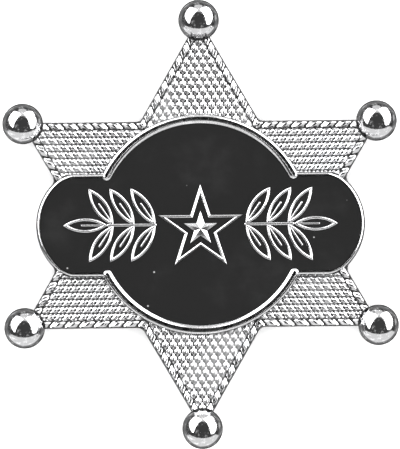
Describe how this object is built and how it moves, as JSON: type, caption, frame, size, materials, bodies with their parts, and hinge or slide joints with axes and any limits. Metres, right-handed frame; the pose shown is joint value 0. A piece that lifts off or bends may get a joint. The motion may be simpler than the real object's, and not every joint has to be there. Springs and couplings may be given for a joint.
{
  "type": "sheriff star badge",
  "caption": "Pointed star badge in cast metal with ball tips, knurled arms, rope edges, an enamelled disc with side lobes, and a pin on the back.",
  "frame": {"origin": "on the surface the badge lies on, under the middle of the star", "axes": "+Z out of the badge's face, +Y towards the upper ball tip, +X towards the right lobe as the face is read"},
  "size_m": [0.0658, 0.075, 0.0068],
  "materials": {
    "cast_metal": "bright plated casting",
    "black_enamel": "glossy enamel",
    "pin_steel": "satin"
  },
  "bodies": {
    "root": {"star_body": "cast_metal", "enamel_field": "black_enamel", "star_enamel": "black_enamel", "leaf_enamel_1": "black_enamel", "leaf_enamel_2": "black_enamel", "leaf_enamel_3": "black_enamel", "leaf_enamel_4": "black_enamel", "leaf_enamel_5": "black_enamel", "leaf_enamel_6": "black_enamel", "leaf_enamel_7": "black_enamel", "leaf_enamel_8": "black_enamel", "leaf_enamel_9": "black_enamel", "leaf_enamel_10": "black_enamel", "leaf_enamel_11": "black_enamel", "leaf_enamel_12": "black_enamel", "leaf_enamel_13": "black_enamel", "leaf_enamel_14": "black_enamel", "pin_clasp": "pin_steel"}
  },
  "joints": []
}
